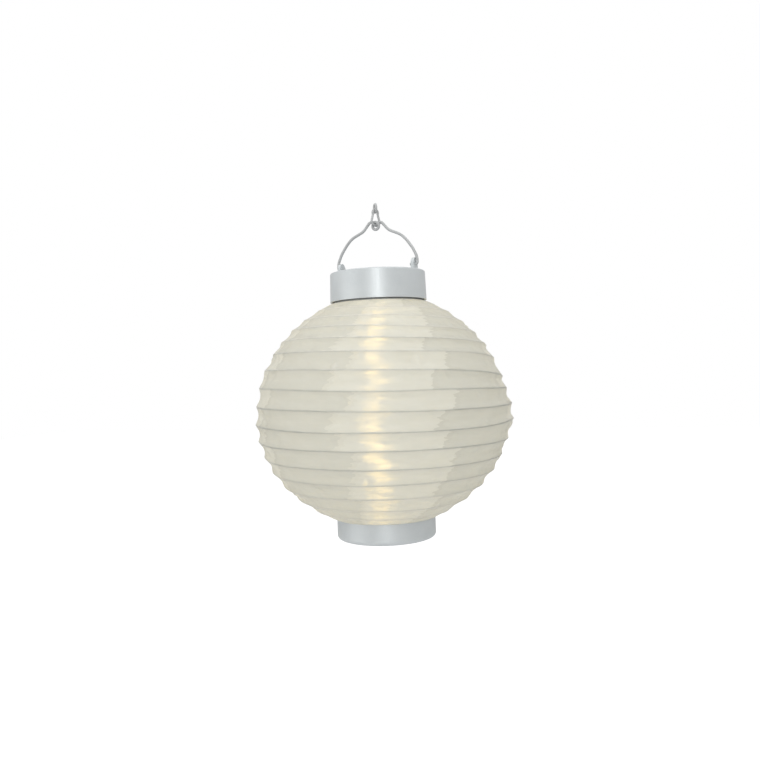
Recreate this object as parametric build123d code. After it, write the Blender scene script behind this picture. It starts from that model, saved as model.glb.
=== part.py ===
from build123d import *

import math
import os

# A hanging lantern with a spiral-ribbed globe of cloth between two plastic caps, lit by a small
# solar unit in the top cap. Millimetres, +Z up. The origin is the hang point: the inner top of
# the small ring, so that everything else is at negative Z. The bail lies in the XZ plane.

# Small ring and pear-shaped link
RING_WIRE = 1.8
RING_BORE = 4.8
RING_TURN = 127.0  # degrees about Z from the XZ plane
LINK_WIRE = 2.0
LINK_TOP_BEND = 2.7  # radii of the wire's centreline
LINK_BOTTOM_BEND = 4.7
LINK_TOP_Z = -3.4
LINK_BOTTOM_Z = -16.0
LINK_TURN = 65.0

# Bail
BAIL_WIRE = 2.2
EYE_BEND = 2.8
EYE_TOP_Z = -13.4
EYE_CORNERS = 8
EYE_STEP = 1.12  # half the distance between the two crossing strands
BAIL_HALF_WIDTH = 33.4
PIVOT_Z = -48.5
BAIL_END_X = 27.6
SHOULDER_X = 4.6
ARM_POINTS = ((10.2, 1.0, -20.0), (20.6, 0.7, -24.6), (25.4, 0.5, -29.6), (30.0, 0.3, -36.0))
ARM_FOOT_Z = -43.2
SHOULDER_BEND = 2.6
HOLLOW_BEND = 10.0
ARM_BENDS = (16.0, 30.0, 26.0, 12.0)
ELBOW_BEND = 1.4

# Top cap
CAP_TOP_Z = -53.0
CAP_HEIGHT = 22.5
CAP_TOP_RADIUS = 37.2
CAP_BOTTOM_RADIUS = 37.8
CAP_WALL = 1.6
CAP_ROOF = 1.8
CAP_EDGE = 1.2
EAR_RADIUS = 4.9
EAR_INNER_X = 29.6
EAR_THICKNESS = 2.4
PIVOT_PLAY = 0.05  # radial

# Solar panel and its tray in the cap's roof
PANEL_SIDE = 34.0
PANEL_THICKNESS = 2.0
PANEL_GAP = 0.3
PANEL_RECESS = 2.4
TRAY_WALL = 1.7
TRAY_FLOOR = 1.4

# Screw bosses, base cover and its screws
BOSS_RADIUS = 3.0
BOSS_PLACES = ((0.0, 27.0), (-23.4, -13.5), (23.4, -13.5))
SCREW_SHANK = 1.0
SCREW_HEAD = 2.2
SCREW_HEAD_HEIGHT = 1.3
SCREW_LENGTH = 8.0
SCREW_PLAY = 0.05
SCREW_SLOT = (2.9, 0.5)  # length and width of each arm of the cross; as deep as it is wide
COVER_RADIUS = 32.0
COVER_TOP_Z = -73.0
COVER_THICKNESS = 2.0
COUNTERBORE = 0.8

# Battery, its contacts and its door
BATTERY_RADIUS = 5.25
BATTERY_LENGTH = 43.5
NUB_RADIUS = 1.9
NUB_LENGTH = 1.0
BATTERY_Y = 11.0
BATTERY_Z = -64.0
BATTERY_START_X = -21.5
BATTERY_EDGE = 0.5
CONTACT_THICKNESS = 0.4
CONTACT_WIDTH = 8.0
CONTACT_X = 23.2
CONTACT_TOP_Z = -58.2
DIMPLE_HEIGHT = 0.15
SPRING_WIRE = 0.5
SPRING_LARGE_BEND = 3.4
SPRING_SMALL_BEND = 1.8
SPRING_TURNS = 2.5
SPRING_CORNERS = 8  # corners of the route for each turn
CRADLE_WALL = 1.4
CRADLE_WIDTH = 12.0
CRADLE_X = 24.6
DOOR_OPENING = (48.6, 12.6)
DOOR_PLUG_GAP = 0.15
DOOR_PLATE = (53.0, 13.8)
DOOR_CORNER = 3.0
DOOR_THICKNESS = 1.2
DOOR_TAB = (7.0, 7.0)
DOOR_SCREW_PLACE = (15.0, 1.0)
DOOR_SCREW_LENGTH = 5.2
DOOR_BOSS_RADIUS = 2.6
DOOR_BOSS_HEIGHT = 4.0
DOOR_BOSS_ROOF = 1.0

# Circuit board and what is on it
BOARD_SIZE = (30.0, 16.0, 1.2)
BOARD_Y = -12.0
BOARD_TOP_Z = -60.0
POST_X = 11.0
POST_RADIUS = 2.0
CHIP_SIZE = (5.0, 4.0, 1.6)
CHIP_X = -6.0
INDUCTOR_RADIUS = 1.6
INDUCTOR_LENGTH = 6.5
INDUCTOR_EDGE = 0.5
INDUCTOR_X = 6.5

# Lamp
LED_RADIUS = 2.5
LED_FLANGE_RADIUS = 2.9
LED_FLANGE_HEIGHT = 1.0
LED_HEIGHT = 8.6
LED_PLAY = 0.1
LED_COLLAR_RADIUS = 3.8
LED_COLLAR_HEIGHT = 2.0
LEG_RADIUS = 0.25
LEG_X = 1.27
LEG_TURN_Z = -65.5
LEG_SHIFT = (-6.0, 1.5)  # how far each leg leans over in Y and in Z to reach the board
LEG_BEND = 1.2

# Slide switch
SWITCH_SIZE = (9.0, 4.4, 3.6)
SWITCH_Y = -26.0
SWITCH_TRAVEL = 2.0
SWITCH_BASE = (3.0, 1.9, 1.0)
SWITCH_KNOB = (2.0, 1.5)
SWITCH_KNOB_TIP_Z = -77.0
SWITCH_FLOOR = 1.0
SWITCH_GAP = 0.15

# Leads
LEAD_RADIUS = 0.5
LEAD_BEND = 1.2
SOLAR_LEAD_Z = -58.4
SOLAR_LEAD_X = (-13.0, -10.4)
SOLAR_LEAD_Y = (-1.0, -6.5)
BATTERY_LEAD_Z = -58.6
BATTERY_LEAD_ROUTE = ((23.2, 7.4), (19.5, 7.4), (16.6, 0.0), (16.6, -7.0), (13.6, -9.4))

# Cloth collar with bayonet tabs, and the cap's ledges under them
COLLAR_BORE = 32.6
COLLAR_NECK_RADIUS = 34.4
COLLAR_TOP_Z = -66.5
FLANGE_TOP_Z = -76.2
FLANGE_BOTTOM_Z = -77.6
FLANGE_RADIUS = 35.6
TAB_RADIUS = 35.3
TAB_TOP_Z = -68.5
TAB_BOTTOM_Z = -70.0
TAB_SPAN = 14.0  # degrees
TAB_ANGLES = (30.0, 150.0, 270.0)
LEDGE_BORE = 34.7
LEDGE_GAP = 0.2
LEDGE_HEIGHT = 1.6
STOP_SPAN = 4.0
STOP_GAP = 0.4  # degrees

# Cloth globe: two half ellipses on one equator
GLOBE_RADIUS = 100.0
EQUATOR_Z = -165.0
UPPER_RISE = 95.0
LOWER_DROP = 86.0
CLOTH_TOP_Z = -77.0
CLOTH_BOTTOM_Z = -243.6
CLOTH_THICKNESS = 0.6

# Spiral rib
RIB_RADIUS = 0.6
RIB_TURNS = 15
RIB_CORNERS = 10  # corners of the route for each turn
RIB_START = 64.5  # degrees of latitude
RIB_CLOSE_TURNS = 4.7  # the turns near the top, which lie closer together
RIB_CLOSE_STEP = 7.05  # degrees of latitude for each of those turns
RIB_WIDE_STEP = 8.9  # degrees of latitude for each turn below them
RIB_START_TURN = 41.0  # degrees about Z
RIB_CLEARANCE = 0.5

# Bottom cap and the ring in its mouth
BOTTOM_Z = -260.2
BOTTOM_RIM_Z = -243.0
BOTTOM_RADIUS = 38.7
BOTTOM_WALL = 1.6
BOTTOM_FLOOR = 1.8
BOTTOM_EDGE = 3.0
LOWER_RING_BORE = 34.0
LOWER_FLANGE_RADIUS = 38.2
LOWER_RING_TOP_Z = -241.2
LOWER_RING_BOTTOM_Z = -248.5
LOWER_RING_PLAY = 0.05

CIRCLE = 360.0
QUARTER = 90.0
ARC_SHARE = 0.45  # share of the shorter run that each rounded corner takes


def slab(length, width, low_z, high_z, x=0.0, y=0.0):
    return Pos(x, y, (low_z + high_z) / 2) * Box(length, width, high_z - low_z)


def rod(radius, low_z, high_z, x=0.0, y=0.0):
    return Pos(x, y, (low_z + high_z) / 2) * Cylinder(radius, high_z - low_z)


def tube_ring(outer, bore, low_z, high_z):
    return rod(outer, low_z, high_z) - rod(bore, low_z, high_z)


def sector(bore, outer, low_z, high_z, start, span):
    """A piece of a ring that covers span degrees from start."""
    middle = Pos((bore + outer) / 2, (low_z + high_z) / 2)
    section = Plane.XZ * middle * Rectangle(outer - bore, high_z - low_z)
    return Rot(0, 0, start) * revolve(section, Axis.Z, revolution_arc=span)


def corner_radii(points):
    """The largest radius that the runs beside each corner allow."""
    radii = []
    for before, here, after in zip(points, points[1:], points[2:]):
        run_in = Vector(here) - Vector(before)
        run_out = Vector(after) - Vector(here)
        shorter = min(run_in.length, run_out.length)
        half_turn = math.radians(run_in.get_angle(run_out) / 2)
        radii.append(ARC_SHARE * shorter / math.tan(half_turn))
    return radii


def wire_tube(points, radii, radius):
    route = FilletPolyline(*points, radius=radii)
    section = Plane(origin=route @ 0, z_dir=route % 0) * Circle(radius)
    return sweep(section, path=route)


def lead(points, name):
    radii = [min(LEAD_BEND, largest) for largest in corner_radii(points)]
    print(name, "bend radii", [round(r, 2) for r in radii])
    return wire_tube(points, radii, LEAD_RADIUS)


def top_ring():
    bend = (RING_BORE + RING_WIRE) / 2
    upright = Rot(QUARTER, 0, 0) * Torus(bend, RING_WIRE / 2)
    return Pos(0, 0, -RING_BORE / 2) * Rot(0, 0, RING_TURN) * upright


def hanging_link():
    """Two halves, each a small bend at the top, a tangent leg and a larger bend at the bottom."""
    top_y = LINK_TOP_Z - LINK_TOP_BEND
    bottom_y = LINK_BOTTOM_Z + LINK_BOTTOM_BEND
    tilt = math.degrees(math.asin((LINK_TOP_BEND - LINK_BOTTOM_BEND) / (top_y - bottom_y)))
    top = CenterArc((0, top_y), LINK_TOP_BEND, QUARTER, tilt - QUARTER)
    bottom = CenterArc((0, bottom_y), LINK_BOTTOM_BEND, tilt, -QUARTER - tilt)
    leg = Line(top @ 1, bottom @ 0)
    route = Wire([top.edge(), leg.edge(), bottom.edge()])
    section = Plane(origin=route @ 0, z_dir=route % 0) * Circle(LINK_WIRE / 2)
    half = sweep(section, path=route)
    flat = half + mirror(half, Plane.YZ)
    return Rot(0, 0, LINK_TURN) * Rot(QUARTER, 0, 0) * flat


def eye_corners():
    """Corners of one full turn of the bail's eye, from top round to top, clockwise from the front."""
    reach = EYE_BEND / math.cos(math.pi / EYE_CORNERS)
    corners = []
    for n in range(EYE_CORNERS):
        angle = math.pi / 2 - math.pi / EYE_CORNERS * (2 * n + 1)
        y = EYE_STEP * (2 * n / (EYE_CORNERS - 1) - 1)
        x = reach * math.cos(angle)
        z = EYE_TOP_Z - EYE_BEND + reach * math.sin(angle)
        corners.append((x, y, z))
    return corners


def bail_handle():
    arm = [
        (SHOULDER_X, EYE_STEP, EYE_TOP_Z),
        *ARM_POINTS,
        (BAIL_HALF_WIDTH, 0.0, ARM_FOOT_Z),
        (BAIL_HALF_WIDTH, 0.0, PIVOT_Z),
        (BAIL_END_X, 0.0, PIVOT_Z),
    ]
    left = [(-x, -y, z) for x, y, z in reversed(arm)]
    arm_bends = [SHOULDER_BEND, HOLLOW_BEND, *ARM_BENDS, ELBOW_BEND]
    eye_bends = [EYE_BEND * 2 * ARC_SHARE] * EYE_CORNERS
    radii = [*reversed(arm_bends), *eye_bends, *arm_bends]
    return wire_tube([*left, *eye_corners(), *arm], radii, BAIL_WIRE / 2)


def ear(side):
    foot_z = CAP_TOP_Z - CAP_ROOF / 2
    middle_x = side * (EAR_INNER_X + EAR_THICKNESS / 2)
    across = Pos(middle_x, 0, PIVOT_Z) * Rot(0, QUARTER, 0)
    crown = across * Cylinder(EAR_RADIUS, EAR_THICKNESS)
    leg = slab(EAR_THICKNESS, 2 * EAR_RADIUS, foot_z, PIVOT_Z, middle_x)
    return crown + leg - across * Cylinder(BAIL_WIRE / 2 + PIVOT_PLAY, 2 * EAR_THICKNESS)


def cap_shell():
    bottom_z = CAP_TOP_Z - CAP_HEIGHT
    middle_z = (CAP_TOP_Z + bottom_z) / 2
    outside = Pos(0, 0, middle_z) * Cone(CAP_BOTTOM_RADIUS, CAP_TOP_RADIUS, CAP_HEIGHT)
    outside = fillet(outside.edges().sort_by(Axis.Z)[-1], CAP_EDGE)
    hollow = Cone(CAP_BOTTOM_RADIUS - CAP_WALL, CAP_TOP_RADIUS - CAP_WALL, CAP_HEIGHT)
    return outside - Pos(0, 0, middle_z - CAP_ROOF) * hollow


def cap_tray():
    side = PANEL_SIDE + 2 * (PANEL_GAP + TRAY_WALL)
    low_z = CAP_TOP_Z - PANEL_RECESS - TRAY_FLOOR
    return slab(side, side, low_z, CAP_TOP_Z - CAP_ROOF / 2)


def ledges():
    """Three ledges for the collar's tabs, each with a stop at the end where the twist locks."""
    cap_inside = CAP_BOTTOM_RADIUS - CAP_WALL / 2
    ledge_top_z = TAB_BOTTOM_Z - LEDGE_GAP
    low_z = ledge_top_z - LEDGE_HEIGHT
    stop_lead = STOP_GAP + STOP_SPAN
    pieces = []
    for angle in TAB_ANGLES:
        start = angle - TAB_SPAN / 2 - stop_lead
        pieces.append(sector(LEDGE_BORE, cap_inside, low_z, ledge_top_z, start, stop_lead + TAB_SPAN))
        pieces.append(sector(LEDGE_BORE, cap_inside, low_z, TAB_TOP_Z, start, STOP_SPAN))
    return pieces


def cradle_walls():
    low_z = BATTERY_Z - BATTERY_RADIUS
    top_z = CAP_TOP_Z - CAP_ROOF / 2
    return [slab(CRADLE_WALL, CRADLE_WIDTH, low_z, top_z, side * CRADLE_X, BATTERY_Y) for side in (-1, 1)]


def top_cap():
    roof_z = CAP_TOP_Z - CAP_ROOF / 2
    tray_floor_z = CAP_TOP_Z - PANEL_RECESS - TRAY_FLOOR / 2
    body = cap_shell() + cap_tray()
    for x, y in BOSS_PLACES:
        body += rod(BOSS_RADIUS, COVER_TOP_Z, roof_z, x, y)
    for side in (-1, 1):
        body += rod(POST_RADIUS, BOARD_TOP_Z, tray_floor_z, side * POST_X, BOARD_Y)
        body += ear(side)
    for piece in [*cradle_walls(), *ledges()]:
        body += piece
    recess = PANEL_SIDE + 2 * PANEL_GAP
    body -= slab(recess, recess, CAP_TOP_Z - PANEL_RECESS, CAP_TOP_Z)
    slot_length = SOLAR_LEAD_X[1] - SOLAR_LEAD_X[0] + 4 * LEAD_RADIUS
    slot_x = sum(SOLAR_LEAD_X) / 2
    slot_z = CAP_TOP_Z - PANEL_RECESS
    body -= slab(slot_length, 4 * LEAD_RADIUS, slot_z - 2 * TRAY_FLOOR, slot_z, slot_x, SOLAR_LEAD_Y[0])
    for x, y in BOSS_PLACES:
        body -= rod(SCREW_SHANK + SCREW_PLAY, COVER_TOP_Z, COVER_TOP_Z + SCREW_LENGTH, x, y)
    return body


def solar_panel():
    low_z = CAP_TOP_Z - PANEL_RECESS
    plate = slab(PANEL_SIDE, PANEL_SIDE, low_z, low_z + PANEL_THICKNESS)
    return chamfer(plate.edges().group_by(Axis.Z)[-1], PANEL_GAP)


def circuit_board():
    length, width, thickness = BOARD_SIZE
    return slab(length, width, BOARD_TOP_Z - thickness, BOARD_TOP_Z, 0, BOARD_Y)


def driver_chip():
    length, width, height = CHIP_SIZE
    top_z = BOARD_TOP_Z - BOARD_SIZE[2]
    return slab(length, width, top_z - height, top_z, CHIP_X, BOARD_Y)


def inductor():
    middle_z = BOARD_TOP_Z - BOARD_SIZE[2] - INDUCTOR_RADIUS
    body = Cylinder(INDUCTOR_RADIUS, INDUCTOR_LENGTH)
    body = fillet(body.edges().filter_by(GeomType.CIRCLE), INDUCTOR_EDGE)
    return Pos(INDUCTOR_X, BOARD_Y, middle_z) * Rot(0, QUARTER, 0) * body


def along_x(radius, low_x, high_x, y, z):
    return Pos((low_x + high_x) / 2, y, z) * Rot(0, QUARTER, 0) * Cylinder(radius, high_x - low_x)


def battery():
    end_x = BATTERY_START_X + BATTERY_LENGTH
    can = along_x(BATTERY_RADIUS, BATTERY_START_X, end_x, BATTERY_Y, BATTERY_Z)
    can = fillet(can.edges().filter_by(GeomType.CIRCLE), BATTERY_EDGE)
    return can + along_x(NUB_RADIUS, end_x - NUB_LENGTH, end_x + NUB_LENGTH, BATTERY_Y, BATTERY_Z)


def contact_plate(side):
    low_z = BATTERY_Z - CONTACT_WIDTH / 2
    middle_x = side * (CONTACT_X + CONTACT_THICKNESS / 2)
    return slab(CONTACT_THICKNESS, CONTACT_WIDTH, low_z, CONTACT_TOP_Z, middle_x, BATTERY_Y)


def battery_spring_contact():
    """A plate with a conical spring whose wide end is sunk a little into it."""
    start_x = -CONTACT_X - SPRING_WIRE / 4
    end_x = BATTERY_START_X - SPRING_WIRE / 2
    count = int(SPRING_TURNS * SPRING_CORNERS)
    corners = []
    for n in range(count + 1):
        share = n / count
        angle = 2 * math.pi * n / SPRING_CORNERS
        bend = SPRING_LARGE_BEND + share * (SPRING_SMALL_BEND - SPRING_LARGE_BEND)
        x = start_x + share * (end_x - start_x)
        corners.append((x, BATTERY_Y + bend * math.cos(angle), BATTERY_Z + bend * math.sin(angle)))
    return contact_plate(-1) + wire_tube(corners, corner_radii(corners), SPRING_WIRE / 2)


def battery_plate_contact():
    middle_x = CONTACT_X + CONTACT_THICKNESS / 2
    dimple = along_x(NUB_RADIUS / 2, CONTACT_X - DIMPLE_HEIGHT, middle_x, BATTERY_Y, BATTERY_Z)
    return contact_plate(1) + dimple


def led():
    flange = rod(LED_FLANGE_RADIUS, COVER_TOP_Z, COVER_TOP_Z + LED_FLANGE_HEIGHT)
    dome_z = COVER_TOP_Z + LED_FLANGE_HEIGHT - LED_HEIGHT + LED_RADIUS
    return flange + rod(LED_RADIUS, dome_z, COVER_TOP_Z) + Pos(0, 0, dome_z) * Sphere(LED_RADIUS)


def led_legs():
    start_z = COVER_TOP_Z + LED_FLANGE_HEIGHT
    end_z = BOARD_TOP_Z - BOARD_SIZE[2]
    far_y, rise = LEG_SHIFT
    legs = []
    for x in (-LEG_X, LEG_X):
        points = [(x, 0, start_z), (x, 0, LEG_TURN_Z), (x, far_y, LEG_TURN_Z + rise), (x, far_y, end_z)]
        legs.append(wire_tube(points, [LEG_BEND] * 2, LEG_RADIUS))
    return Compound(children=legs)


def switch_rest_x():
    return -SWITCH_TRAVEL / 2


def switch_body():
    length, width, height = SWITCH_SIZE
    base_length, base_width, base_height = SWITCH_BASE
    knob_length, knob_width = SWITCH_KNOB
    body = slab(length, width, COVER_TOP_Z, COVER_TOP_Z + height, 0, SWITCH_Y)
    run = SWITCH_TRAVEL + 2 * SWITCH_GAP
    chamber_z = COVER_TOP_Z + SWITCH_FLOOR
    chamber_top = chamber_z + base_height + 2 * SWITCH_GAP
    body -= slab(base_length + run, base_width + 2 * SWITCH_GAP, chamber_z, chamber_top, 0, SWITCH_Y)
    return body - slab(knob_length + run, knob_width + 2 * SWITCH_GAP, COVER_TOP_Z, chamber_z, 0, SWITCH_Y)


def switch_slider():
    base_length, base_width, base_height = SWITCH_BASE
    knob_length, knob_width = SWITCH_KNOB
    low_z = COVER_TOP_Z + SWITCH_FLOOR + SWITCH_GAP
    base = slab(base_length, base_width, low_z, low_z + base_height, switch_rest_x(), SWITCH_Y)
    return base + slab(knob_length, knob_width, SWITCH_KNOB_TIP_Z, low_z, switch_rest_x(), SWITCH_Y)


def door_plug(gap):
    length, width = DOOR_OPENING
    plug = RectangleRounded(length - 2 * gap, width - 2 * gap, DOOR_CORNER / 2)
    return Pos(0, BATTERY_Y, COVER_TOP_Z - COVER_THICKNESS) * extrude(plug, COVER_THICKNESS)


def base_cover():
    low_z = COVER_TOP_Z - COVER_THICKNESS
    body = rod(COVER_RADIUS, low_z, COVER_TOP_Z)
    body += rod(LED_COLLAR_RADIUS, low_z - LED_COLLAR_HEIGHT, low_z)
    body += rod(DOOR_BOSS_RADIUS, COVER_TOP_Z, COVER_TOP_Z + DOOR_BOSS_HEIGHT, *DOOR_SCREW_PLACE)
    body -= door_plug(0)
    body -= rod(LED_RADIUS + LED_PLAY, low_z - LED_COLLAR_HEIGHT, COVER_TOP_Z)
    for x, y in BOSS_PLACES:
        body -= rod(SCREW_SHANK + 2 * SCREW_PLAY, low_z, COVER_TOP_Z, x, y)
        body -= rod(SCREW_HEAD + 2 * SCREW_PLAY, low_z, low_z + COUNTERBORE, x, y)
    bore_top_z = COVER_TOP_Z + DOOR_BOSS_HEIGHT - DOOR_BOSS_ROOF
    body -= rod(SCREW_SHANK + SCREW_PLAY, low_z, bore_top_z, *DOOR_SCREW_PLACE)
    knob_length, knob_width = SWITCH_KNOB
    slot_length = knob_length + SWITCH_TRAVEL + 2 * SWITCH_GAP
    return body - slab(slot_length, knob_width + 2 * SWITCH_GAP, low_z, COVER_TOP_Z, 0, SWITCH_Y)


def screw(x, y, seat_z, length):
    """A self-tapping screw that points up, its head's upper face on seat_z."""
    head = rod(SCREW_HEAD, seat_z - SCREW_HEAD_HEIGHT, seat_z, x, y)
    head = fillet(head.edges().sort_by(Axis.Z)[0], SCREW_HEAD_HEIGHT / 2)
    slot_z = seat_z - SCREW_HEAD_HEIGHT
    long, wide = SCREW_SLOT
    cross = slab(long, wide, slot_z, slot_z + wide, x, y) + slab(wide, long, slot_z, slot_z + wide, x, y)
    return head + rod(SCREW_SHANK, seat_z, seat_z + length, x, y) - cross


def base_screws():
    seat_z = COVER_TOP_Z - COVER_THICKNESS + COUNTERBORE
    return Compound(children=[screw(x, y, seat_z, SCREW_LENGTH) for x, y in BOSS_PLACES])


def battery_door():
    top_z = COVER_TOP_Z - COVER_THICKNESS
    tab_length, tab_width = DOOR_TAB
    plate = RectangleRounded(*DOOR_PLATE, DOOR_CORNER)
    tab = RectangleRounded(tab_length, tab_width, DOOR_CORNER)
    screw_x, screw_y = DOOR_SCREW_PLACE
    outline = Pos(0, BATTERY_Y) * plate + Pos(screw_x, screw_y) * tab
    outline += Pos(screw_x, screw_y + tab_width / 2) * Rectangle(tab_length, tab_width / 2)
    body = Pos(0, 0, top_z - DOOR_THICKNESS) * extrude(outline, DOOR_THICKNESS)
    body += door_plug(DOOR_PLUG_GAP)
    return body - rod(SCREW_SHANK + 2 * SCREW_PLAY, top_z - DOOR_THICKNESS, top_z, *DOOR_SCREW_PLACE)


def battery_door_screw():
    seat_z = COVER_TOP_Z - COVER_THICKNESS - DOOR_THICKNESS
    return screw(*DOOR_SCREW_PLACE, seat_z, DOOR_SCREW_LENGTH)


def solar_lead(index, name):
    x = SOLAR_LEAD_X[index]
    start_y, end_y = SOLAR_LEAD_Y
    points = [
        (x, start_y, CAP_TOP_Z - PANEL_RECESS),
        (x, start_y, SOLAR_LEAD_Z),
        (x, end_y, SOLAR_LEAD_Z),
        (x, end_y, BOARD_TOP_Z),
    ]
    return lead(points, name)


def battery_lead(side, name):
    points = [(side * x, y, BATTERY_LEAD_Z) for x, y in BATTERY_LEAD_ROUTE]
    end_x, end_y = BATTERY_LEAD_ROUTE[-1]
    points.append((side * end_x, end_y, BOARD_TOP_Z))
    return lead(points, name)


def upper_ring():
    body = tube_ring(COLLAR_NECK_RADIUS, COLLAR_BORE, FLANGE_BOTTOM_Z, COLLAR_TOP_Z)
    body += tube_ring(FLANGE_RADIUS, COLLAR_BORE, FLANGE_BOTTOM_Z, FLANGE_TOP_Z)
    for angle in TAB_ANGLES:
        inner = (COLLAR_BORE + COLLAR_NECK_RADIUS) / 2
        body += sector(inner, TAB_RADIUS, TAB_BOTTOM_Z, TAB_TOP_Z, angle - TAB_SPAN / 2, TAB_SPAN)
    return body


def globe_solid(inset):
    """The globe as a full solid, inset from its outer surface, between the cloth's two ends."""
    radius = GLOBE_RADIUS - inset
    upper = EllipticalCenterArc((0, EQUATOR_Z), radius, UPPER_RISE - inset, 0, arc_size=QUARTER)
    lower = EllipticalCenterArc((0, EQUATOR_Z), radius, LOWER_DROP - inset, -QUARTER, arc_size=QUARTER)
    spine = Line(upper @ 1, lower @ 0)
    half = make_face([upper.edge(), lower.edge(), spine.edge()])
    return revolve(Plane.XZ * half, Axis.Z)


def fabric_shade():
    shell = globe_solid(0) - globe_solid(CLOTH_THICKNESS)
    return shell & slab(3 * GLOBE_RADIUS, 3 * GLOBE_RADIUS, CLOTH_BOTTOM_Z, CLOTH_TOP_Z)


def rib_corners():
    """The spiral's corners, wound down and counter-clockwise from above, closer together near the top."""
    inset = CLOTH_THICKNESS + RIB_RADIUS + RIB_CLEARANCE
    count = RIB_TURNS * RIB_CORNERS
    corners = []
    for n in range(count + 1):
        close = min(n / RIB_CORNERS, RIB_CLOSE_TURNS)
        wide = n / RIB_CORNERS - close
        latitude = math.radians(RIB_START - RIB_CLOSE_STEP * close - RIB_WIDE_STEP * wide)
        rise = UPPER_RISE if latitude > 0 else LOWER_DROP
        turn = math.radians(RIB_START_TURN + CIRCLE * n / RIB_CORNERS)
        bend = (GLOBE_RADIUS - inset) * math.cos(latitude)
        x = bend * math.cos(turn)
        y = bend * math.sin(turn)
        corners.append((x, y, EQUATOR_Z + (rise - inset) * math.sin(latitude)))
    return corners


def rib_spiral():
    corners = rib_corners()
    return wire_tube(corners, corner_radii(corners), RIB_RADIUS)


def bottom_cap():
    outside = rod(BOTTOM_RADIUS, BOTTOM_Z, BOTTOM_RIM_Z)
    outside = fillet(outside.edges().sort_by(Axis.Z)[0], BOTTOM_EDGE)
    hollow = rod(BOTTOM_RADIUS - BOTTOM_WALL, BOTTOM_Z + BOTTOM_FLOOR, BOTTOM_RIM_Z)
    hollow = fillet(hollow.edges().sort_by(Axis.Z)[0], BOTTOM_EDGE - BOTTOM_WALL)
    return outside - hollow


def lower_ring():
    neck = BOTTOM_RADIUS - BOTTOM_WALL - LOWER_RING_PLAY
    body = tube_ring(neck, LOWER_RING_BORE, LOWER_RING_BOTTOM_Z, BOTTOM_RIM_Z)
    return body + tube_ring(LOWER_FLANGE_RADIUS, LOWER_RING_BORE, BOTTOM_RIM_Z, LOWER_RING_TOP_Z)


PARTS = {
    "top_ring": top_ring,
    "hanging_link": hanging_link,
    "bail_handle": bail_handle,
    "top_cap": top_cap,
    "solar_panel": solar_panel,
    "circuit_board": circuit_board,
    "driver_chip": driver_chip,
    "inductor": inductor,
    "battery": battery,
    "battery_spring_contact": battery_spring_contact,
    "battery_plate_contact": battery_plate_contact,
    "switch_body": switch_body,
    "switch_slider": switch_slider,
    "led": led,
    "led_legs": led_legs,
    "base_cover": base_cover,
    "base_screws": base_screws,
    "battery_door": battery_door,
    "battery_door_screw": battery_door_screw,
    "solar_lead_red": lambda: solar_lead(0, "solar_lead_red"),
    "solar_lead_black": lambda: solar_lead(1, "solar_lead_black"),
    "battery_lead_red": lambda: battery_lead(1, "battery_lead_red"),
    "battery_lead_black": lambda: battery_lead(-1, "battery_lead_black"),
    "upper_ring": upper_ring,
    "rib_spiral": rib_spiral,
    "fabric_shade": fabric_shade,
    "bottom_cap": bottom_cap,
    "lower_ring": lower_ring,
}

os.makedirs("parts", exist_ok=True)
for name, make in PARTS.items():
    part = make()
    part.label = name
    export_step(part, f"parts/{name}.step")
    print(name, "volume", round(part.volume, 1))
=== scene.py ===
import math
import random

import bpy
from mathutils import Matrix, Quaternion, Vector, noise


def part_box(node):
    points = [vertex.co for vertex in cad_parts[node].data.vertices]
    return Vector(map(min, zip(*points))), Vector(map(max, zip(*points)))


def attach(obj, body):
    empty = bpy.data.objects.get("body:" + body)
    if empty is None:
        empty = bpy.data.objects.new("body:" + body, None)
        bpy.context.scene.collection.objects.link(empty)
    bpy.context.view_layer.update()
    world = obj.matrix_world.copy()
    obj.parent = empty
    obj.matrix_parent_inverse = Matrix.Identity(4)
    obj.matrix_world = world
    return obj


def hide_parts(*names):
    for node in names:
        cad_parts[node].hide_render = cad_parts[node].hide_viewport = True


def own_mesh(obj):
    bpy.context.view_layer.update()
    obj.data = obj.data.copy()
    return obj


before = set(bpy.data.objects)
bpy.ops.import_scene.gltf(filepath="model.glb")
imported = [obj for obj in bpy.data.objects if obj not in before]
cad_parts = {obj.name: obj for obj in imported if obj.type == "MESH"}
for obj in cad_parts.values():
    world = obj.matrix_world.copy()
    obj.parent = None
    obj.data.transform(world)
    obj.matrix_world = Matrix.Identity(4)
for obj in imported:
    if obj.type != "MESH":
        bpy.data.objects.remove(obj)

bpy.context.view_layer.update()

MM = 0.001
CIRCLE = 2 * math.pi
NOISE_RANGE = (0.3, 0.7)  # most of a noise texture's values lie between these

# camera, in metres and degrees
CAMERA_DISTANCE = 0.613
CAMERA_HEIGHT = -0.130
CAMERA_AZIMUTH = 22.0
CAMERA_PITCH = -0.67
CAMERA_TURN = 0.1  # to the left
CAMERA_ROLL = -2.1
CAMERA_LENS = 36.9  # in millimetres, as is the sensor's width
CAMERA_SENSOR = 36.0
CAMERA_NEAR = 10 * MM  # nothing nearer than this is drawn

# the globe: two half ellipses, cut level at both ends
SHADE_LOW, SHADE_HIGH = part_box("fabric_shade")
GLOBE_RADIUS = (SHADE_HIGH.x - SHADE_LOW.x) / 2
CLOTH_TOP = SHADE_HIGH.z
CLOTH_BOTTOM = SHADE_LOW.z
EQUATOR = -165 * MM
UPPER_RISE = 95 * MM
LOWER_DROP = 86 * MM

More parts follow.
